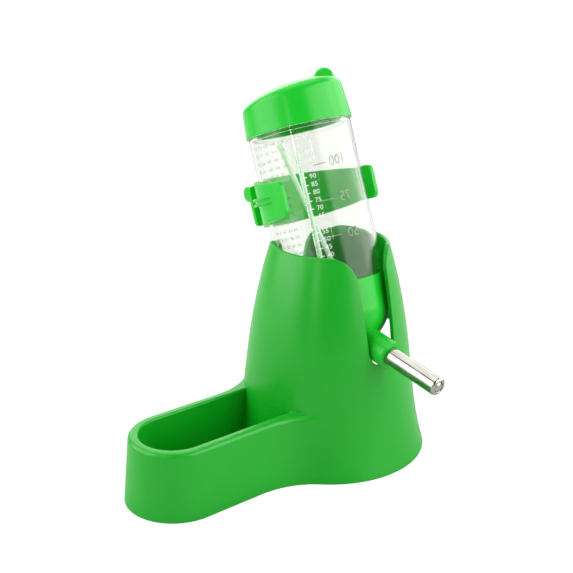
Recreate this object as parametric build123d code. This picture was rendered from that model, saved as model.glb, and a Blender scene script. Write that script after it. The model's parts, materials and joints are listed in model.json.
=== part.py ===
"""Small-animal water bottle leaning in a moulded stand with a food trough and a hut.

Millimetres, +Z up. The origin is the centre of the stand's round body, on the floor.
The drinking nozzle points towards -Y, the trough towards -X and the hut doorway towards +X.
The bottle leans back towards +Y, and its own frame starts at the joint of tank and cup.
"""
from build123d import *
import os
from math import atan2, cos, radians, sin, sqrt, tan

# Stand: one moulding, a bell-shaped body with a trough on one side
WALL = 2.0
FOOT_RADIUS = 45.0
BODY_OUTLINE = [(FOOT_RADIUS, 0.0), (39.7, 25.0), (36.3, 52.0), (31.0, 80.0), (26.6, 96.0)]
RIM_ROUND_HEIGHT = 1.0
TROUGH_HEIGHT = 30.0
TROUGH_DRAFT = 5.5
TROUGH_HALF_WIDTH = 22.5
TROUGH_END_CENTRE = 84.5
TROUGH_BLEND = 34.0
TROUGH_LIP = 4.2
LIP_ROUND = 1.0
LIP_OUTER_ROUND = 2.2
LIP_LAND = 0.05
POCKET_HALF_WIDTH = TROUGH_HALF_WIDTH - TROUGH_HEIGHT * tan(radians(TROUGH_DRAFT)) - TROUGH_LIP
POCKET_DRAFT = 3.0
POCKET_FLOOR = 6.0
POCKET_BACK_RADIUS = 39.0
POCKET_BACK_DRAFT = 4.0

# Slots in the rim, front for the nozzle and back for the tank, and the hut doorway
SLOT_BOTTOM = 49.2
SLOT_HALF_WIDTH = 7.5
SLOT_HALF_WIDTH_TOP = 8.6
SLOT_FLARE_START = 86.5
SLOT_FLARE_RADIUS = 11.0
DOOR_HALF_WIDTH = 20.0
DOOR_SPRING = 33.0
REACH = 60.0

# Bottle frame: the joint of tank and cup, and the lean of the axis
LEAN = 21.0
JOINT_Y = -3.3
JOINT_Z = 78.5

# Tank: a clear tube with a neck at each end
TANK_RADIUS = 23.1
TANK_LENGTH = 69.6
TANK_WALL = 1.5
NECK_RADIUS = 21.0
NECK_LENGTH = 9.0
FIT = 0.05
STAND_GAP = 0.8

# Seals and the plug that holds the two straws; each straw is its plan place at the joint,
# its plan place at the top, and the height of its top
SEAL_INNER_RADIUS = 18.6
SEAL_THICKNESS = 1.5
SEAL_GAP = 0.02
PLUG_RADIUS = 18.0
PLUG_THICKNESS = 3.0
PLUG_LEDGE = 1.5
STRAW_RADIUS = 1.15
STRAW_WALL = 0.4
STRAW_FOOT = -17.0
STRAW_LONG = ((3.2, -0.7), (-6.1, 9.0), 65.0)
STRAW_SHORT = ((-4.0, 0.7), (-4.0, 0.7), 58.5)
BOSS_RADIUS = 2.6
BOSS_TOP = -4.0
WATER_HOLES = 6
WATER_HOLE_PITCH = 12.0
WATER_HOLE_RADIUS = 2.5

# Cup and its elbow
CUP_STRAIGHT = 12.5
CUP_DRAFT = 1.1
CUP_DEPTH = 32.0
CUP_WALL = 2.2
SHOULDER_SHARE = 0.8
ELBOW_START = 19.8
ELBOW_RADIUS = 6.2
ELBOW_LENGTH = 30.5
ELBOW_BORE_START = 8.0
NOZZLE_DROP = 9.4

# Nozzle tube, ball and stop
TUBE_RADIUS = 4.0
TUBE_WALL = 0.6
TUBE_SEAT = 16.0
TUBE_TIP = 59.2
TIP_OPENING = 2.35
TIP_ROUND = 1.2
TIP_EDGE_ROUND = 0.3
BALL_RADIUS = 3.0
BALL_TRAVEL = 2.0
STOP_LENGTH = 5.0
STOP_BORE = 2.0

# Cap
CAP_RADIUS = 24.0
CAP_DRAFT = 4.8
CAP_PEAK = 20.6
CAP_DOME_RADIUS = 56.0
CAP_DOME_OFFSET = 5.5
CAP_TAB_ANGLE = -55.0
CAP_EDGE_ROUND = 4.2
CAP_WALL = 2.2
TAB_CENTRE = 16.2
TAB_RADIUS = 4.6
TAB_THICKNESS = 3.2
TAB_RISE = -1.0
TAB_ROUND = 1.1

# Clip: a C-shaped band with two ears, a rib and a hook plate
CLIP_WALL = 2.0
CLIP_TOP_BACK = 52.2
CLIP_BOTTOM_BACK = 29.9
CLIP_HALF_ANGLE = 100.0
EAR_BOTTOM = 32.6
EAR_TOP = 47.9
EAR_LENGTH = 9.0
EAR_REACH = 8.3
EAR_OFFSET = 1.6
EAR_ROUND = 3.0
TAPER_BLEND = 8.0
RIB_BOTTOM = 40.0
RIB_HEIGHT = 3.5
RIB_PROUD = 2.0
GROOVE_HEIGHT = 1.1
GROOVE_DEPTH = 0.8
PLATE_INNER = 29.5
PLATE_HALF_WIDTH = 12.6
PLATE_BOTTOM = 31.8
PLATE_TOP = 50.5
HOOK_BOTTOM = 44.0
HOOK_PROUD = 5.0
OVERLAP = 1.0

ON_BASE = (Align.CENTER, Align.CENTER, Align.MIN)


def bottle_plane():
    """Plane across the bottle axis at the joint: local z runs up the axis."""
    axis = (0, sin(radians(LEAN)), cos(radians(LEAN)))
    return Plane(origin=(0, JOINT_Y, JOINT_Z), x_dir=(1, 0, 0), z_dir=axis)


def tilted(solid):
    """Move a piece from the bottle's frame to the stand's frame."""
    return bottle_plane().location * solid


def ring(outer, inner, bottom, top):
    """Plain ring about the local z axis."""
    height = top - bottom
    body = Cylinder(outer, height, align=ON_BASE) - Cylinder(inner, height, align=ON_BASE)
    return Pos(0, 0, bottom) * body


def rod(radius, bottom, top):
    """Plain cylinder about the local z axis."""
    return Pos(0, 0, bottom) * Cylinder(radius, top - bottom, align=ON_BASE)


def body_solid(inset):
    """Solid of revolution under the body's outline, moved inwards by inset."""
    points = [(r - inset, z) for r, z in BODY_OUTLINE]
    top_radius, top = points[-1]
    flank = Spline(*points)
    lid = Polyline(points[-1], (0, top), (0, 0), points[0])
    face = make_face([flank, lid])
    return revolve(Plane.XZ * face, Axis.Z)


def rim_bead():
    """Half-round bead along the top of the body's wall."""
    rim_radius, rim_height = BODY_OUTLINE[-1]
    inner = rim_radius - WALL
    bead = make_face([
        ThreePointArc((rim_radius, 0), (rim_radius - WALL / 2, RIM_ROUND_HEIGHT), (inner, 0)),
        Line((inner, 0), (rim_radius, 0)),
    ])
    return Pos(0, 0, rim_height) * revolve(Plane.XZ * bead, Axis.Z)


def slot_shape(half_width, reach):
    """Plan of a straight-sided tongue with a round end, pointing towards -X."""
    middle = Pos(-reach / 2, 0) * Rectangle(reach, 2 * half_width)
    return middle + Pos(-reach, 0) * Circle(half_width)


def stand_solid(inset):
    """Body and trough as one solid moved in by inset, with concave blends where they meet."""
    height = TROUGH_HEIGHT - inset
    plan = slot_shape(TROUGH_HALF_WIDTH - inset, TROUGH_END_CENTRE)
    solid = body_solid(inset) + extrude(plan, amount=height, taper=TROUGH_DRAFT)
    roots = [e for e in solid.edges().filter_by_position(Axis.X, -FOOT_RADIUS, -FOOT_RADIUS / 2)
             if e.bounding_box().size.Z > height - OVERLAP]
    return fillet(roots, TROUGH_BLEND + inset)


def stand_outside():
    """Outside of the stand as a solid, with the outer edge of the trough's lip rounded."""
    level = Plane.XY.offset(TROUGH_HEIGHT - LIP_OUTER_ROUND)
    below = split(stand_solid(0), level, keep=Keep.BOTTOM)
    top = extrude(below.faces().sort_by(Axis.Z)[-1], amount=LIP_OUTER_ROUND, dir=(0, 0, 1))
    top = fillet(top.edges().group_by(Axis.Z)[-1], LIP_OUTER_ROUND - LIP_LAND)
    return below + top + body_solid(0)


def pocket_back(inset):
    """Steep cone that forms the pocket's back wall, where the body's wall runs down into it."""
    bottom_radius = POCKET_BACK_RADIUS + TROUGH_HEIGHT * tan(radians(POCKET_BACK_DRAFT))
    return Cone(bottom_radius - inset, POCKET_BACK_RADIUS - inset, TROUGH_HEIGHT, align=ON_BASE)


def pocket_block(grow):
    """The trough's pocket as a solid, its sides, floor and back moved out by grow."""
    down = Plane(origin=(0, 0, TROUGH_HEIGHT), x_dir=(1, 0, 0), z_dir=(0, 0, -1))
    plan = down * slot_shape(POCKET_HALF_WIDTH + grow, TROUGH_END_CENTRE)
    block = extrude(plan, amount=TROUGH_HEIGHT - POCKET_FLOOR + grow, taper=POCKET_DRAFT)
    return block - pocket_back(grow)


def rim_slot():
    """Outline of a rim slot in the XZ plane: round bottom, nearly straight sides, flared mouth."""
    base = SLOT_BOTTOM + SLOT_HALF_WIDTH
    top = SLOT_FLARE_START + SLOT_FLARE_RADIUS
    mouth = SLOT_HALF_WIDTH_TOP + SLOT_FLARE_RADIUS
    inset = SLOT_FLARE_RADIUS * sqrt(0.5)
    edges = [ThreePointArc((-SLOT_HALF_WIDTH, base), (0, SLOT_BOTTOM), (SLOT_HALF_WIDTH, base))]
    for side in (1, -1):
        start = (side * SLOT_HALF_WIDTH_TOP, SLOT_FLARE_START)
        middle = (side * (mouth - inset), SLOT_FLARE_START + inset)
        edges.append(Line((side * SLOT_HALF_WIDTH, base), start))
        edges.append(ThreePointArc(start, middle, (side * mouth, top)))
    edges.append(Line((-mouth, top), (mouth, top)))
    return make_face(edges)


def stand_shell():
    """The whole stand in one piece."""
    stand = stand_outside() - stand_solid(WALL) + rim_bead() + pocket_block(WALL) - pocket_block(0)
    half_width = POCKET_HALF_WIDTH + OVERLAP / 2
    top_edges = stand.edges().filter_by_position(Axis.Z, TROUGH_HEIGHT, TROUGH_HEIGHT)
    lip = [e for e in top_edges if abs(e.center().Y) < half_width
           and -TROUGH_END_CENTRE - half_width < e.center().X < -FOOT_RADIUS]
    stand = fillet(lip, LIP_ROUND)
    slot = Plane.XZ * rim_slot()
    stand -= extrude(slot, amount=REACH)
    stand -= extrude(slot, amount=-REACH)
    door = Plane.YZ * (Pos(0, DOOR_SPRING / 2) * Rectangle(2 * DOOR_HALF_WIDTH, DOOR_SPRING)
                       + Pos(0, DOOR_SPRING) * Circle(DOOR_HALF_WIDTH))
    stand -= extrude(door, amount=REACH)
    stand -= tilted(rod(TANK_RADIUS + STAND_GAP, 0, TANK_LENGTH))
    return stand


def tank():
    """Clear tube with a shoulder and a narrower neck at each end."""
    solid = rod(TANK_RADIUS, 0, TANK_LENGTH) + rod(NECK_RADIUS, -NECK_LENGTH, TANK_LENGTH + NECK_LENGTH)
    solid -= rod(NECK_RADIUS - TANK_WALL, -NECK_LENGTH, TANK_LENGTH + NECK_LENGTH)
    solid -= rod(TANK_RADIUS - TANK_WALL, TANK_WALL, TANK_LENGTH - TANK_WALL)
    return solid


def nozzle_plane():
    """Plane across the nozzle at its start on the bottle axis, in the stand's frame."""
    drop = radians(NOZZLE_DROP)
    start = bottle_plane().from_local_coords((0, 0, -ELBOW_START))
    return Plane(origin=start, x_dir=(1, 0, 0), z_dir=(0, -cos(drop), -sin(drop)))


def along_nozzle(solid):
    """Move a piece from the nozzle's frame to the stand's frame."""
    return nozzle_plane().location * solid


def bowl(radius, depth):
    """Round-bottomed solid below the local origin: a shoulder arc and a flatter bottom arc."""
    shoulder = SHOULDER_SHARE * depth
    centre = radius - shoulder
    bottom = (centre ** 2 + depth ** 2 - shoulder ** 2) / (2 * (depth - shoulder))
    gap = bottom - shoulder
    meet = (bottom * centre / gap, bottom - depth + bottom * (depth - bottom) / gap)
    half = atan2(depth - bottom, centre) / 2
    shoulder_middle = (centre + shoulder * cos(half), shoulder * sin(half))
    turn = atan2(meet[0], bottom - depth - meet[1]) / 2
    bottom_middle = (bottom * sin(turn), bottom - depth - bottom * cos(turn))
    profile = make_face([
        ThreePointArc((radius, 0), shoulder_middle, meet),
        ThreePointArc(meet, bottom_middle, (0, -depth)),
        Polyline((0, -depth), (0, 0), (radius, 0)),
    ])
    return revolve(Plane.XZ * profile, Axis.Z)


def bottom_cup():
    """Cup that screws on the tank, with the elbow that carries the nozzle tube."""
    ledge = NECK_LENGTH + SEAL_THICKNESS
    plug_ledge = ledge + PLUG_THICKNESS
    narrow = TANK_RADIUS - CUP_DRAFT
    wall = Pos(0, 0, -CUP_STRAIGHT) * Cone(narrow, TANK_RADIUS, CUP_STRAIGHT, align=ON_BASE)
    bottom = Pos(0, 0, -CUP_STRAIGHT) * bowl(narrow, CUP_DEPTH - CUP_STRAIGHT)
    cup = tilted(wall + bottom) + along_nozzle(rod(ELBOW_RADIUS, 0, ELBOW_LENGTH))
    cup -= tilted(rod(NECK_RADIUS + FIT, -ledge, 0))
    cup -= tilted(rod(PLUG_RADIUS + FIT, -plug_ledge, 0))
    cavity = bowl(PLUG_RADIUS - PLUG_LEDGE, CUP_DEPTH - plug_ledge - CUP_WALL)
    cup -= tilted(Pos(0, 0, -plug_ledge) * cavity)
    cup -= along_nozzle(rod(TUBE_RADIUS - TUBE_WALL, ELBOW_BORE_START, ELBOW_LENGTH))
    cup -= along_nozzle(rod(TUBE_RADIUS + FIT / 2, TUBE_SEAT, ELBOW_LENGTH))
    return cup


def nozzle_tube():
    """Steel tube whose end is rolled inwards to hold the ball."""
    inner = TUBE_RADIUS - TUBE_WALL
    body = rod(TUBE_RADIUS, TUBE_SEAT, TUBE_TIP)
    tip_edges = [e for e in body.edges() if e.center().Z > TUBE_TIP - 0.01]
    body = fillet(tip_edges, TIP_ROUND)
    body -= rod(TIP_OPENING, TUBE_SEAT, TUBE_TIP)
    opening = body.edges().group_by(Axis.Z)[-1].sort_by(SortBy.RADIUS)[0]
    body = fillet(opening, TIP_EDGE_ROUND)
    bore = rod(inner, TUBE_SEAT, TUBE_TIP - TUBE_WALL)
    bore_edges = [e for e in bore.edges() if e.center().Z > TUBE_TIP - TUBE_WALL - 0.01]
    body -= fillet(bore_edges, TIP_ROUND - TUBE_WALL)
    return along_nozzle(body)


def ball_seat():
    """Distance along the nozzle of the ball's centre when it closes the tip."""
    inside_lip = TUBE_TIP - TUBE_WALL
    return inside_lip - sqrt((BALL_RADIUS + FIT) ** 2 - TIP_OPENING ** 2)


def nozzle_ball():
    """Steel ball that the tongue pushes in."""
    return along_nozzle(Pos(0, 0, ball_seat()) * Sphere(BALL_RADIUS))


def ball_stop():
    """Short sleeve inside the tube that limits how far the ball goes in."""
    front = ball_seat() - BALL_TRAVEL - sqrt(BALL_RADIUS ** 2 - STOP_BORE ** 2) - FIT
    return along_nozzle(ring(TUBE_RADIUS - TUBE_WALL - FIT / 2, STOP_BORE, front - STOP_LENGTH, front))


def straw_ends(place):
    """Foot point and top point of a straw, its line carried on below the joint."""
    (x0, y0), (x1, y1), height = place
    slope_x = (x1 - x0) / height
    slope_y = (y1 - y0) / height
    foot = Vector(x0 + slope_x * STRAW_FOOT, y0 + slope_y * STRAW_FOOT, STRAW_FOOT)
    return foot, Vector(x1, y1, height)


def straw_solid(place, radius, bottom, top):
    """Cylinder along a straw's line, between two distances from its foot."""
    foot, head = straw_ends(place)
    line = Plane(origin=foot, z_dir=(head - foot).normalized())
    return line.location * rod(radius, bottom, top)


def straw(place):
    """Thin clear tube, open at both ends."""
    foot, head = straw_ends(place)
    length = (head - foot).length
    tube = straw_solid(place, STRAW_RADIUS, 0, length)
    return tilted(tube - straw_solid(place, STRAW_RADIUS - STRAW_WALL, 0, length))


def straw_plug():
    """Disc in the cup's mouth with a boss for each straw and holes for the water."""
    top = -(NECK_LENGTH + SEAL_THICKNESS)
    plug = rod(PLUG_RADIUS, top - PLUG_THICKNESS, top)
    middle = top - PLUG_THICKNESS / 2
    for place in (STRAW_LONG, STRAW_SHORT):
        plug += straw_solid(place, BOSS_RADIUS, middle - STRAW_FOOT, BOSS_TOP - STRAW_FOOT)
    for place in (STRAW_LONG, STRAW_SHORT):
        plug -= straw_solid(place, STRAW_RADIUS + FIT / 2, 0, BOSS_TOP - STRAW_FOOT + BOSS_RADIUS)
    for step in range(WATER_HOLES):
        hole = Pos(WATER_HOLE_PITCH, 0, 0) * rod(WATER_HOLE_RADIUS, top - PLUG_THICKNESS, top)
        plug -= Rot(0, 0, (step + 0.5) * 360 / WATER_HOLES) * hole
    return tilted(plug)


def seal(bottom):
    """Flat ring between a neck's end and the ledge that it closes on."""
    top = bottom + SEAL_THICKNESS
    return tilted(ring(NECK_RADIUS - FIT, SEAL_INNER_RADIUS, bottom + SEAL_GAP, top - SEAL_GAP))


def dome(inset):
    """Large sphere that shapes the cap's top, its peak towards the tab."""
    return Pos(CAP_DOME_OFFSET, 0, CAP_PEAK - CAP_DOME_RADIUS) * Sphere(CAP_DOME_RADIUS - inset)


def top_cap():
    """Screw cap with a sloping domed top and a finger tab."""
    top_radius = CAP_RADIUS - CAP_PEAK * tan(radians(CAP_DRAFT))
    body = Cone(CAP_RADIUS, top_radius, CAP_PEAK, align=ON_BASE) & dome(0)
    top_edges = [e for e in body.edges() if e.center().Z > CAP_PEAK / 3]
    body = fillet(top_edges, CAP_EDGE_ROUND)
    tab_height = sqrt(CAP_DOME_RADIUS ** 2 - (TAB_CENTRE - CAP_DOME_OFFSET) ** 2)
    tab_height += CAP_PEAK - CAP_DOME_RADIUS + TAB_RISE
    disc = Rot(90, 0, 0) * Cylinder(TAB_RADIUS, TAB_THICKNESS)
    body += Pos(TAB_CENTRE, 0, tab_height) * fillet(disc.edges(), TAB_ROUND)
    skirt = NECK_LENGTH + SEAL_THICKNESS
    body -= rod(NECK_RADIUS + FIT, 0, skirt)
    body -= rod(PLUG_RADIUS, 0, CAP_PEAK) & dome(CAP_WALL)
    return tilted(Pos(0, 0, TANK_LENGTH) * Rot(0, 0, CAP_TAB_ANGLE) * body)


def clip_band(inner, outer):
    """C-shaped band with a rib round it, tallest at the back and lower towards its two ends."""
    end = radians(90 - CLIP_HALF_ANGLE)
    front = inner * sin(end)
    shape = make_face(Polyline(
        (outer, CLIP_BOTTOM_BACK), (outer, CLIP_TOP_BACK), (front, EAR_TOP), (-outer, EAR_TOP),
        (-outer, EAR_BOTTOM), (front, EAR_BOTTOM), (outer, CLIP_BOTTOM_BACK)))
    corners = [v for v in shape.vertices() if abs(v.X - front) < 0.1]
    shape = fillet(corners, TAPER_BLEND)
    band = ring(outer, inner, CLIP_BOTTOM_BACK, CLIP_TOP_BACK)
    band &= extrude(Plane.YZ * shape, amount=outer, both=True)
    ridge = outer + RIB_PROUD
    band += ring(ridge, inner, RIB_BOTTOM, RIB_BOTTOM + RIB_HEIGHT)
    groove = RIB_BOTTOM + (RIB_HEIGHT - GROOVE_HEIGHT) / 2
    band -= ring(ridge + OVERLAP, ridge - GROOVE_DEPTH, groove, groove + GROOVE_HEIGHT)
    far = 3 * outer
    mouth = make_face(Polyline(
        (0, 0), (far * cos(end), far * sin(end)), (far, -far), (-far, -far),
        (-far * cos(end), far * sin(end)), (0, 0)))
    return band - extrude(mouth, amount=CLIP_TOP_BACK + OVERLAP)


def clip_ear(side, inner):
    """Straight tab on the outside of one end of the band, reaching towards the front."""
    end = inner * sin(radians(90 - CLIP_HALF_ANGLE))
    height = EAR_TOP - EAR_BOTTOM
    across = side * (inner + EAR_OFFSET + CLIP_WALL / 2)
    place = Pos(across, end - EAR_REACH + EAR_LENGTH / 2, EAR_BOTTOM + height / 2)
    ear = place * Box(CLIP_WALL, EAR_LENGTH, height)
    tips = [e for e in ear.edges().filter_by(Axis.X) if e.center().Y < end]
    return fillet(tips, EAR_ROUND)


def clip():
    """Band that springs round the tank, with a plate behind that hooks on a wire panel."""
    inner = TANK_RADIUS + FIT
    outer = inner + CLIP_WALL
    band = clip_band(inner, outer)
    for side in (1, -1):
        band += clip_ear(side, inner)
    plate_height = PLATE_TOP - PLATE_BOTTOM
    plate = Pos(0, PLATE_INNER + CLIP_WALL / 2, PLATE_BOTTOM + plate_height / 2) * Box(
        2 * PLATE_HALF_WIDTH, CLIP_WALL, plate_height)
    plate = fillet(plate.edges().filter_by(Axis.Y), CLIP_WALL)
    bridge = Pos(0, PLATE_INNER - inner / 2, RIB_BOTTOM + RIB_HEIGHT / 2) * Box(
        2 * PLATE_HALF_WIDTH - EAR_ROUND, inner, RIB_HEIGHT)
    bridge -= rod(inner, CLIP_BOTTOM_BACK, CLIP_TOP_BACK)
    hook_face = make_face([
        ThreePointArc((0, HOOK_BOTTOM), (HOOK_PROUD, (HOOK_BOTTOM + PLATE_TOP) / 2), (0, PLATE_TOP)),
        Line((0, PLATE_TOP), (0, HOOK_BOTTOM)),
    ])
    hook = Pos(0, PLATE_INNER + CLIP_WALL, 0) * extrude(
        Plane.YZ * hook_face, amount=PLATE_HALF_WIDTH - CLIP_WALL / 2, both=True)
    return tilted(band + bridge + plate + hook)


NODES = {
    "stand_shell": stand_shell(),
    "bottom_cup": bottom_cup(),
    "nozzle_tube": nozzle_tube(),
    "nozzle_ball": nozzle_ball(),
    "ball_stop": ball_stop(),
    "straw_plug": straw_plug(),
    "straw_long": straw(STRAW_LONG),
    "straw_short": straw(STRAW_SHORT),
    "tank_seal": seal(-NECK_LENGTH - SEAL_THICKNESS),
    "tank": tilted(tank()),
    "cap_seal": seal(TANK_LENGTH + NECK_LENGTH),
    "top_cap": top_cap(),
    "clip": clip(),
}

os.makedirs("parts", exist_ok=True)
for name, solid in NODES.items():
    export_step(solid, f"parts/{name}.step")
    box = solid.bounding_box()
    print(name, len(solid.solids()), round(solid.volume), box.min, box.max)
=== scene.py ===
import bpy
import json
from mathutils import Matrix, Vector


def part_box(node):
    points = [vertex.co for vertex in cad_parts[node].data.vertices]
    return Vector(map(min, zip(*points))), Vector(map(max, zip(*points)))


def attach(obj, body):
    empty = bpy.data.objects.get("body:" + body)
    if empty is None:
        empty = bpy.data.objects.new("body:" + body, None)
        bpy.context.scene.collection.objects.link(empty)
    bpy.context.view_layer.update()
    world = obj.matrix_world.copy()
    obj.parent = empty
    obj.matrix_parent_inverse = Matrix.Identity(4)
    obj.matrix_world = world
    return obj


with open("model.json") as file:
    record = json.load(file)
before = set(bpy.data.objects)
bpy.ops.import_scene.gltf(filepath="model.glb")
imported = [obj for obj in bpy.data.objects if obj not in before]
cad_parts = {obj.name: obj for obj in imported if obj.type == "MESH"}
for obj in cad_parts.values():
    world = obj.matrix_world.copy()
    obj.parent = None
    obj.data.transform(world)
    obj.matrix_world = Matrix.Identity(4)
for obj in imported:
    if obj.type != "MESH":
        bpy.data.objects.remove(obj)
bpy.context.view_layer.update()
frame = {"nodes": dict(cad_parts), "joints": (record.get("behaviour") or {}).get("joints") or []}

# Small-animal water bottle in its stand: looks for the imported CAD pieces, the printed scales,
# the screw threads, a plain white floor, soft studio light and the camera. Metres, +Z up.
import json
import math

import bmesh
import bpy
from mathutils import Vector

MM = 0.001
joints = {j["name"]: j for j in frame["joints"]}
nodes = frame["nodes"]

# The bottle's own frame: the joint of tank and cup, and the axis up through the tank
BOTTLE_ORIGIN = Vector(joints["tank_turn"]["pos_m"])
BOTTLE_AXIS = Vector(joints["tank_turn"]["axis"]).normalized()
BOTTLE_X = Vector((1, 0, 0))
BOTTLE_Y = BOTTLE_AXIS.cross(BOTTLE_X)
NOZZLE_AXIS = -Vector(joints["ball_push"]["axis"]).normalized()


def node_radius(node):
    low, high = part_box(node)
    return (high[0] - low[0]) / 2


def bottle_point(radius, angle, height):
    """World point from a radius and plan angle about the bottle's axis and a height along it."""
    across = BOTTLE_X * math.cos(angle) + BOTTLE_Y * math.sin(angle)
    return BOTTLE_ORIGIN + across * radius + BOTTLE_AXIS * height


# The clear wall's own sizes, as the tank has them in CAD
TANK_RADIUS = node_radius("tank")
TANK_LENGTH = 69.6 * MM
NECK_RADIUS = 21.0 * MM
NECK_LENGTH = 9.0 * MM

# ---------------------------------------------------------------- node helpers


def maths(tree, operation, first, second):
    """Output of a math node on two values, each a number or another node's output."""
    node = tree.nodes.new("ShaderNodeMath")
    node.operation = operation
    for socket, value in zip(node.inputs, (first, second)):
        if isinstance(value, (int, float)):
            socket.default_value = value
        else:
            tree.links.new(value, socket)
    return node.outputs[0]


def inside_mirrored(tree):
    """1 for rays that came through clear plastic and met only mirrors after that."""
    path = tree.nodes.new("ShaderNodeLightPath")
    passed = maths(tree, "GREATER_THAN", path.outputs["Transmission Depth"], 0.5)
    clean = maths(tree, "LESS_THAN", path.outputs["Diffuse Depth"], 0.5)
    return maths(tree, "MULTIPLY", passed, clean)


def seen_directly(tree):
    """1 for rays that the eye sees, straight or through clear plastic, 0 for light on pieces."""
    path = tree.nodes.new("ShaderNodeLightPath")
    turned_back = maths(tree, "ADD", path.outputs["Diffuse Depth"], path.outputs["Glossy Depth"])
    return maths(tree, "LESS_THAN", turned_back, 0.5)


# ---------------------------------------------------------------- materials

# The part of a noise's range that it mostly keeps to, and the heights of surface detail
PATTERN_SPREAD = (0.35, 0.65)
MOULD_WAVE = 0.08 * MM
CLEAR_WAVE = 0.05 * MM
RUBBER_GRAIN = 0.02 * MM
INK_GRAIN = 0.01 * MM
FINE_GRAIN = 0.006 * MM

# How far light travels inside the green plastic, green further than red and blue
GLOW_DEPTH = 3.0 * MM
GLOW_SPREAD = (0.2, 1.0, 0.2)


class Shader:
    """A node material whose pattern is fixed to the object, in metres."""

    def __init__(self, name):
        self.material = bpy.data.materials.new(name)
        self.material.use_nodes = True
        self.tree = self.material.node_tree
        self.tree.nodes.clear()
        self.output = self.add("ShaderNodeOutputMaterial")
        self.coordinates = self.add("ShaderNodeTexCoord")

    def add(self, kind, **values):
        node = self.tree.nodes.new(kind)
        for key, value in values.items():
            if hasattr(node, key):
                setattr(node, key, value)
            else:
                node.inputs[key.replace("_", " ")].default_value = value
        return node

    def link(self, source, target):
        self.tree.links.new(source, target)

    def noise(self, scale, detail=3.0, stretch=None):
        node = self.add("ShaderNodeTexNoise", Scale=scale, Detail=detail)
        if stretch is None:
            self.link(self.coordinates.outputs["Object"], node.inputs["Vector"])
        else:
            mapping = self.add("ShaderNodeMapping")
            mapping.inputs["Scale"].default_value = stretch[0]
            mapping.inputs["Rotation"].default_value = stretch[1]
            self.link(self.coordinates.outputs["Object"], mapping.inputs["Vector"])
            self.link(mapping.outputs["Vector"], node.inputs["Vector"])
        return node.outputs["Fac"]

    def ramp(self, source, low, high):
        """The middle of a noise's spread, stretched from low to high."""
        node = self.add("ShaderNodeMapRange")
        values = (*PATTERN_SPREAD, low, high)
        for end, value in zip(("From Min", "From Max", "To Min", "To Max"), values):
            node.inputs[end].default_value = value
        self.link(source, node.inputs["Value"])
        return node.outputs["Result"]

    def blend_colours(self, factor, first, second):
        node = self.add("ShaderNodeMix", data_type="RGBA")
        for socket in node.inputs:
            if socket.type == "RGBA":
                socket.default_value = (*(first if socket.name == "A" else second), 1)
        self.link(factor, node.inputs["Factor"])
        return [o for o in node.outputs if o.type == "RGBA"][0]

    def bump(self, height, strength, distance, normal=None):
        node = self.add("ShaderNodeBump", Strength=strength, Distance=distance)
        self.link(height, node.inputs["Height"])
        if normal is not None:
            self.link(normal, node.inputs["Normal"])
        return node.outputs["Normal"]

    def lit_through(self, shader, passed):
        """The shader, but lamps shine through the surface with the colour passed."""
        clear = self.add("ShaderNodeBsdfTransparent")
        clear.inputs["Color"].default_value = (*passed, 1)
        path = self.add("ShaderNodeLightPath")
        mix = self.add("ShaderNodeMixShader")
        self.link(path.outputs["Is Shadow Ray"], mix.inputs[0])
        self.link(shader, mix.inputs[1])
        self.link(clear.outputs["BSDF"], mix.inputs[2])
        return mix.outputs["Shader"]

    def finish(self, shader):
        self.link(shader, self.output.inputs["Surface"])
        return self.material


def moulded_plastic(name, light, dark, roughness, grain, edge, specular, glow, passed=None):
    """Coloured plastic: cloudy colour, fine moulded grain, softened edges; passed is what a lamp
    shines through one skin of it."""
    s = Shader(name)
    cloud = s.ramp(s.noise(28.0, 4.0), 0.0, 1.0)
    colour = s.blend_colours(cloud, light, dark)
    body = s.add("ShaderNodeBsdfPrincipled")
    s.link(colour, body.inputs["Base Color"])
    rough = s.ramp(s.noise(90.0, 3.0), roughness * 0.92, roughness * 1.1)
    s.link(rough, body.inputs["Roughness"])
    rounded = s.add("ShaderNodeBevel", samples=8, Radius=edge)
    wave = s.bump(s.noise(45.0, 2.0), 0.25, MOULD_WAVE, rounded.outputs["Normal"])
    fine = s.bump(s.noise(grain, 2.0), 0.3, FINE_GRAIN, wave)
    s.link(fine, body.inputs["Normal"])
    body.inputs["IOR"].default_value = 1.5
    body.inputs["Specular IOR Level"].default_value = specular
    body.inputs["Subsurface Weight"].default_value = glow
    body.inputs["Subsurface Radius"].default_value = GLOW_SPREAD
    body.inputs["Subsurface Scale"].default_value = GLOW_DEPTH
    if passed is None:
        return s.finish(body.outputs["BSDF"])
    return s.finish(s.lit_through(body.outputs["BSDF"], passed))


def clear_plastic(name, tint, roughness, index, waviness, clearness=1.0):
    """Clear plastic that lets lamps shine through it."""
    s = Shader(name)
    body = s.add("ShaderNodeBsdfPrincipled")
    colour = s.blend_colours(s.ramp(s.noise(35.0, 2.0), 0.0, 1.0), tint, [c * 0.985 for c in tint])
    s.link(colour, body.inputs["Base Color"])
    s.link(s.ramp(s.noise(120.0, 3.0), roughness * 0.6, roughness * 1.4), body.inputs["Roughness"])
    body.inputs["Transmission Weight"].default_value = clearness
    body.inputs["IOR"].default_value = index
    s.link(s.bump(s.noise(60.0, 2.0), waviness, CLEAR_WAVE), body.inputs["Normal"])
    return s.finish(s.lit_through(body.outputs["BSDF"], [c * 0.97 for c in tint]))


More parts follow.
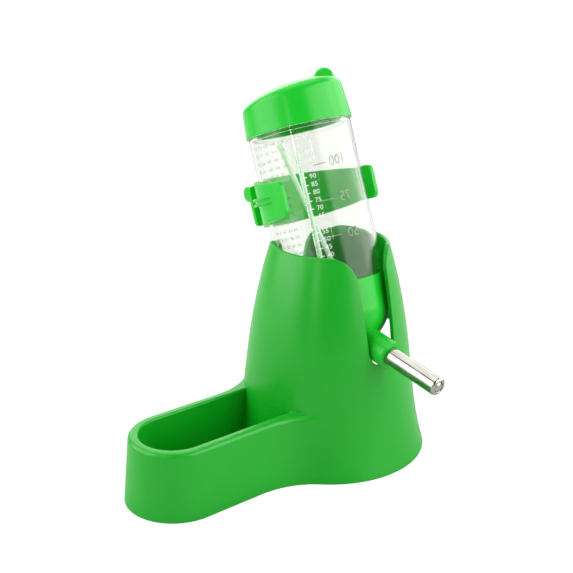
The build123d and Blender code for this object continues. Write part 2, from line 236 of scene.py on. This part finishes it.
def steel(name):
    """Polished stainless steel with faint draw lines along the tube."""
    s = Shader(name)
    body = s.add("ShaderNodeBsdfPrincipled", Metallic=1.0)
    tilt = math.atan2(NOZZLE_AXIS.z, -NOZZLE_AXIS.y)
    lines = s.noise(900.0, 2.0, ((1.0, 0.02, 1.0), (tilt, 0, 0)))
    streaks = s.ramp(lines, 0.0, 1.0)
    base = s.blend_colours(streaks, (0.54, 0.53, 0.475), (0.43, 0.42, 0.38))
    s.link(base, body.inputs["Base Color"])
    s.link(s.ramp(s.noise(220.0, 3.0), 0.09, 0.2), body.inputs["Roughness"])
    s.link(s.bump(lines, 0.25, FINE_GRAIN), body.inputs["Normal"])
    return s.finish(body.outputs["BSDF"])


def silicone(name):
    """Soft translucent rubber of the two seals."""
    s = Shader(name)
    body = s.add("ShaderNodeBsdfPrincipled")
    s.link(s.blend_colours(s.noise(150.0, 3.0), (0.80, 0.88, 0.80), (0.72, 0.80, 0.72)),
           body.inputs["Base Color"])
    s.link(s.ramp(s.noise(400.0, 2.0), 0.42, 0.6), body.inputs["Roughness"])
    body.inputs["Transmission Weight"].default_value = 0.6
    body.inputs["IOR"].default_value = 1.4
    s.link(s.bump(s.noise(1500.0, 2.0), 0.3, RUBBER_GRAIN), body.inputs["Normal"])
    return s.finish(body.outputs["BSDF"])


def ink(name, light, dark):
    """Printed ink, slightly uneven in colour and sheen."""
    s = Shader(name)
    body = s.add("ShaderNodeBsdfPrincipled")
    s.link(s.blend_colours(s.noise(500.0, 3.0), light, dark), body.inputs["Base Color"])
    s.link(s.ramp(s.noise(900.0, 2.0), 0.4, 0.6), body.inputs["Roughness"])
    s.link(s.bump(s.noise(2500.0, 2.0), 0.3, INK_GRAIN), body.inputs["Normal"])
    return s.finish(body.outputs["BSDF"])


STAND = moulded_plastic("stand_satin", (0.004, 0.40, 0.013), (0.003, 0.38, 0.011),
                        0.302, 1500.0, 0.0006, 0.5, 0.15)
GLOSS = moulded_plastic("bottle_gloss", (0.010, 0.56, 0.026), (0.009, 0.53, 0.023),
                        0.242, 1100.0, 0.0005, 0.38, 0.15, (0.28, 0.92, 0.32))
CLEAR = clear_plastic("tank_clear", (0.872, 0.890, 0.848), 0.03, 1.33, 0.2)
STRAW = clear_plastic("straw_clear", (0.85, 0.94, 0.88), 0.14, 1.45, 0.3, 0.42)
STEEL = steel("polished_steel")
RUBBER = silicone("seal_silicone")
INK = ink("scale_ink", (0.90, 0.94, 0.90), (0.80, 0.86, 0.80))
INK_LARGE = ink("large_scale_ink", (0.72, 0.82, 0.74), (0.64, 0.74, 0.66))
INK_FINE = ink("fine_scale_ink", (0.36, 0.42, 0.36), (0.28, 0.34, 0.28))

FINISHES = {
    "stand_shell": STAND,
    "bottom_cup": GLOSS,
    "top_cap": GLOSS,
    "clip": GLOSS,
    "nozzle_tube": STEEL,
    "nozzle_ball": STEEL,
    "ball_stop": STRAW,
    "straw_plug": STRAW,
    "straw_long": STRAW,
    "straw_short": STRAW,
    "tank_seal": RUBBER,
    "cap_seal": RUBBER,
    "tank": CLEAR,
}
for node_name, material in FINISHES.items():
    for slot in nodes[node_name].material_slots:
        slot.material = material

# ---------------------------------------------------------------- printed scales

INK_BELOW = 0.006 * MM
INK_THICK = 0.026 * MM
CELL = 0.5 * MM


def wrap_on_tank(mesh, angle, height):
    """Closed thin print from a flat outline, whose x goes round the tank and y up it."""
    bm = bmesh.new()
    bm.from_mesh(mesh)
    xs = [v.co.x for v in bm.verts]
    steps = int((max(xs) - min(xs)) / CELL)
    for step in range(1, steps + 1):
        cut = min(xs) + step * CELL
        parts = bm.verts[:] + bm.edges[:] + bm.faces[:]
        bmesh.ops.bisect_plane(bm, geom=parts, plane_co=(cut, 0, 0), plane_no=(1, 0, 0))
    grown = bmesh.ops.extrude_face_region(bm, geom=bm.faces[:])
    raised = {v for v in grown["geom"] if isinstance(v, bmesh.types.BMVert)}
    for v in bm.verts:
        radius = TANK_RADIUS + INK_BELOW + (INK_THICK if v in raised else 0.0)
        v.co = bottle_point(radius, angle + v.co.x / TANK_RADIUS, height + v.co.y)
    bmesh.ops.recalc_face_normals(bm, faces=bm.faces[:])
    return bm


def outline_of(text, size):
    """Flat filled mesh of a number, its middle at the origin."""
    curve = bpy.data.curves.new("number", "FONT")
    curve.body = text
    curve.size = size
    curve.align_x = "CENTER"
    curve.align_y = "CENTER"
    curve.resolution_u = 3
    holder = bpy.data.objects.new("number", curve)
    bpy.context.scene.collection.objects.link(holder)
    bpy.context.view_layer.update()
    mesh = bpy.data.meshes.new_from_object(holder)
    bpy.data.objects.remove(holder)
    bpy.data.curves.remove(curve)
    return mesh


def bar_of(width, height):
    """Flat bar, its middle at the origin."""
    bm = bmesh.new()
    corners = [(-1, -1), (1, -1), (1, 1), (-1, 1)]
    bm.faces.new([bm.verts.new((x * width / 2, y * height / 2, 0)) for x, y in corners])
    mesh = bpy.data.meshes.new("bar")
    bm.to_mesh(mesh)
    bm.free()
    return mesh


def join_prints(name, prints, material):
    """One object from (flat mesh, angle in degrees, height in mm) prints, riding on the tank."""
    whole = bpy.data.meshes.new(name)
    total = bmesh.new()
    for flat, angle, height in prints:
        piece = wrap_on_tank(flat, math.radians(angle), height * MM)
        part = bpy.data.meshes.new("part")
        piece.to_mesh(part)
        piece.free()
        total.from_mesh(part)
        bpy.data.meshes.remove(part)
    total.to_mesh(whole)
    total.free()
    whole.materials.append(material)
    piece = bpy.data.objects.new(name, whole)
    bpy.context.scene.collection.objects.link(piece)
    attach(piece, "tank_body")


# The tank holds 5 ml in each step of height, and the cup below it 25 ml
STEP_HEIGHT = 3.41
FIRST_HEIGHT = 2.6
FIRST_VOLUME = 25
STEP_VOLUME = 5
LAST_VOLUME = 115
VOLUMES = range(FIRST_VOLUME + STEP_VOLUME, LAST_VOLUME + 1, STEP_VOLUME)

# Each scale's number height, mark width and height, and places round the tank in degrees
MAIN_NUMBER = 2.9 * MM
MAIN_MARK = (1.7 * MM, 0.4 * MM)
MAIN_TURN = -126.0
MAIN_MARK_TURN = -134.5
SECOND_VOLUMES = (50, 75, 100)
SECOND_NUMBER = 6.6 * MM
SECOND_MARK = (6.0 * MM, 0.5 * MM)
SECOND_TURN = 12.0
SECOND_MARK_TURN = 36.0
FINE_NUMBER = 1.9 * MM
FINE_TURN = -172.0


def volume_height(volume):
    """Height above the tank's foot, in mm, that the water has at a volume in ml."""
    return FIRST_HEIGHT + STEP_HEIGHT * (volume - FIRST_VOLUME) / STEP_VOLUME


# Main scale on the near wall: a number and a short mark every 5 ml
main = []
for volume in VOLUMES:
    main.append((outline_of(str(volume), MAIN_NUMBER), MAIN_TURN, volume_height(volume)))
    main.append((bar_of(*MAIN_MARK), MAIN_MARK_TURN, volume_height(volume)))
join_prints("main_scale", main, INK)

# Large second scale on the far wall, every 25 ml
second = []
for volume in SECOND_VOLUMES:
    second.append((outline_of(str(volume), SECOND_NUMBER), SECOND_TURN, volume_height(volume)))
    second.append((bar_of(*SECOND_MARK), SECOND_MARK_TURN, volume_height(volume)))
join_prints("second_scale", second, INK_LARGE)

# Fine rows on the left wall: every millilitre's number
rows = []
for volume in VOLUMES:
    figures = "  ".join(str(volume + extra) for extra in range(STEP_VOLUME))
    rows.append((outline_of(figures, FINE_NUMBER), FINE_TURN, volume_height(volume)))
join_prints("fine_scale", rows, INK_FINE)

# ---------------------------------------------------------------- screw threads

THREAD_PITCH = 3.0 * MM
THREAD_DEPTH = 0.7 * MM
THREAD_HALF = 0.65 * MM
THREAD_CREST = 0.45
THREAD_FOOT = 1.25
THREAD_SUNK = 0.3 * MM
THREAD_STEPS = 64
RUN_IN_STEPS = 8
RUN_IN_SUNK = 0.05 * MM


def neck_thread(name, start, turns):
    """Helical ridge on a neck of the tank, running in and out of the wall at its two ends."""
    bm = bmesh.new()
    rings = []
    count = int(turns * THREAD_STEPS)
    for step in range(count + 1):
        angle = 2 * math.pi * step / THREAD_STEPS
        height = start + THREAD_PITCH * step / THREAD_STEPS
        fade = min(1.0, step / RUN_IN_STEPS, (count - step) / RUN_IN_STEPS)
        base = NECK_RADIUS - THREAD_SUNK
        top = NECK_RADIUS + THREAD_DEPTH * fade - RUN_IN_SUNK * (1 - fade)
        lower = [(base, -THREAD_FOOT), (NECK_RADIUS, -1.0), (top, -THREAD_CREST)]
        shape = lower + [(r, -offset) for r, offset in reversed(lower)]
        rings.append([bm.verts.new(bottle_point(r, angle, height + offset * THREAD_HALF))
                      for r, offset in shape])
    for ring, following in zip(rings, rings[1:]):
        for i in range(len(ring)):
            k = (i + 1) % len(ring)
            bm.faces.new((ring[i], ring[k], following[k], following[i]))
    bm.faces.new(rings[0])
    bm.faces.new(list(reversed(rings[-1])))
    bmesh.ops.recalc_face_normals(bm, faces=bm.faces[:])
    mesh = bpy.data.meshes.new(name)
    bm.to_mesh(mesh)
    bm.free()
    mesh.shade_smooth()
    mesh.materials.append(CLEAR)
    piece = bpy.data.objects.new(name, mesh)
    bpy.context.scene.collection.objects.link(piece)
    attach(piece, "tank_body")


THREAD_TURNS = 1.9
THREAD_MARGIN = 1.4 * MM
neck_thread("lower_neck_thread", THREAD_MARGIN - NECK_LENGTH, THREAD_TURNS)
neck_thread("upper_neck_thread", TANK_LENGTH + THREAD_MARGIN, THREAD_TURNS)

# ---------------------------------------------------------------- floor, light, camera

CAMERA_AZIMUTH = -39.0
CAMERA_ELEVATION = 19.68
CAMERA_DISTANCE = 0.4665
CAMERA_LENS = 65.07
SENSOR = 36.0
LOOK_RIGHT = -0.01923
LOOK_HEIGHT = 0.07528

azimuth = math.radians(CAMERA_AZIMUTH)
elevation = math.radians(CAMERA_ELEVATION)
right = Vector((math.cos(azimuth), math.sin(azimuth), 0))
back = Vector((math.sin(azimuth) * math.cos(elevation), -math.cos(azimuth) * math.cos(elevation),
               math.sin(elevation)))
target = right * LOOK_RIGHT + Vector((0, 0, LOOK_HEIGHT))

camera_data = bpy.data.cameras.new("camera")
camera_data.sensor_width = SENSOR
camera_data.lens = CAMERA_LENS
camera_data.clip_start = 0.01
camera_data.clip_end = 50.0
camera = bpy.data.objects.new("camera", camera_data)
bpy.context.scene.collection.objects.link(camera)
camera.location = target + back * CAMERA_DISTANCE
camera.rotation_mode = "QUATERNION"
camera.rotation_quaternion = back.to_track_quat("Z", "Y")
bpy.context.scene.camera = camera

FLOOR_SIZE = 6.0
FLOOR_DROP = 0.2 * MM
FLOOR_GLOW = 1.26
FLOOR_GLOW_SHARE = 0.8
ROOM_LIGHT = 0.15
ROOM_IN_CLEAR = 0.56


def make_floor():
    """Wide white floor that looks plain white to the eye but lights the pieces only softly."""
    half = FLOOR_SIZE / 2
    mesh = bpy.data.meshes.new("floor")
    mesh.from_pydata([(-half, -half, 0), (half, -half, 0), (half, half, 0), (-half, half, 0)], [],
                     [(0, 1, 2, 3)])
    floor = bpy.data.objects.new("floor", mesh)
    floor.location.z = -FLOOR_DROP
    bpy.context.scene.collection.objects.link(floor)
    s = Shader("floor_white")
    paper = s.add("ShaderNodeBsdfDiffuse")
    shades = s.blend_colours(s.noise(6.0, 2.0), (0.62, 0.62, 0.62), (0.60, 0.60, 0.60))
    s.link(shades, paper.inputs["Color"])
    bright = s.add("ShaderNodeEmission", Strength=FLOOR_GLOW)
    pale = maths(s.tree, "MAXIMUM", seen_directly(s.tree), inside_mirrored(s.tree))
    mix = s.add("ShaderNodeMixShader")
    s.link(maths(s.tree, "MULTIPLY", pale, FLOOR_GLOW_SHARE), mix.inputs[0])
    s.link(paper.outputs["BSDF"], mix.inputs[1])
    s.link(bright.outputs["Emission"], mix.inputs[2])
    mesh.materials.append(s.finish(mix.outputs["Shader"]))


def make_world():
    """White surroundings for the eye, a dim room for the light on the pieces."""
    world = bpy.data.worlds.new("studio")
    bpy.context.scene.world = world
    world.use_nodes = True
    tree = world.node_tree
    tree.nodes.clear()
    plain = tree.nodes.new("ShaderNodeBackground")
    plain.inputs["Color"].default_value = (1, 1, 1, 1)
    room = tree.nodes.new("ShaderNodeBackground")
    room.inputs["Color"].default_value = (1, 1, 1, 1)
    level = tree.nodes.new("ShaderNodeMapRange")
    level.inputs["To Min"].default_value = ROOM_LIGHT
    level.inputs["To Max"].default_value = ROOM_IN_CLEAR
    tree.links.new(inside_mirrored(tree), level.inputs["Value"])
    tree.links.new(level.outputs["Result"], room.inputs["Strength"])
    mix = tree.nodes.new("ShaderNodeMixShader")
    tree.links.new(seen_directly(tree), mix.inputs[0])
    tree.links.new(room.outputs["Background"], mix.inputs[1])
    tree.links.new(plain.outputs["Background"], mix.inputs[2])
    output = tree.nodes.new("ShaderNodeOutputWorld")
    tree.links.new(mix.outputs["Shader"], output.inputs["Surface"])


make_floor()
make_world()

EDGE_FADE = 0.22


def fade_edges(data):
    """Let a lamp's cloth darken softly towards its four edges."""
    data.use_nodes = True
    lamp_tree = data.node_tree
    emission = [n for n in lamp_tree.nodes if n.type == "EMISSION"][0]
    place = lamp_tree.nodes.new("ShaderNodeNewGeometry")
    split = lamp_tree.nodes.new("ShaderNodeSeparateXYZ")
    lamp_tree.links.new(place.outputs["Parametric"], split.inputs[0])
    sides = []
    for axis in ("X", "Y"):
        soft = lamp_tree.nodes.new("ShaderNodeMapRange")
        soft.interpolation_type = "SMOOTHSTEP"
        soft.inputs["From Max"].default_value = EDGE_FADE
        from_edge = maths(lamp_tree, "PINGPONG", split.outputs[axis], 0.5)
        lamp_tree.links.new(from_edge, soft.inputs["Value"])
        sides.append(soft.outputs["Result"])
    lamp_tree.links.new(maths(lamp_tree, "MULTIPLY", *sides), emission.inputs["Strength"])


AIM_HEIGHT = 0.09


def softbox(name, turn, distance, height, size, radiance):
    """Flat soft light facing the bottle, turn degrees round the object to the camera's right."""
    data = bpy.data.lights.new(name, "AREA")
    data.shape = "RECTANGLE"
    data.size, data.size_y = size
    data.energy = radiance * math.pi * size[0] * size[1]
    fade_edges(data)
    lamp = bpy.data.objects.new(name, data)
    angle = azimuth + math.radians(turn)
    place = Vector((math.sin(angle) * distance, -math.cos(angle) * distance, height))
    lamp.location = place
    aim = place - Vector((0, 0, AIM_HEIGHT))
    lamp.rotation_mode = "QUATERNION"
    lamp.rotation_quaternion = aim.to_track_quat("Z", "Y")
    lamp.visible_camera = False
    bpy.context.scene.collection.objects.link(lamp)
    return lamp


softbox("light_right", 68, 0.75, 0.42, (1.25, 0.95), 3.2)
softbox("light_left", -80, 0.75, 0.42, (1.25, 0.95), 3.0)
softbox("light_back", 180, 0.9, 0.5, (2.1, 1.0), 1.8)
edge_light = softbox("light_side", 118, 0.8, 0.35, (0.7, 0.8), 2.4)
edge_light.visible_diffuse = False
softbox("light_top", 200, 0.25, 0.9, (1.0, 1.0), 1.6)
softbox("light_line", -24, 0.7, 0.3, (0.03, 0.5), 14.0)

scene = bpy.context.scene
scene.view_settings.view_transform = "Standard"
scene.view_settings.look = "None"
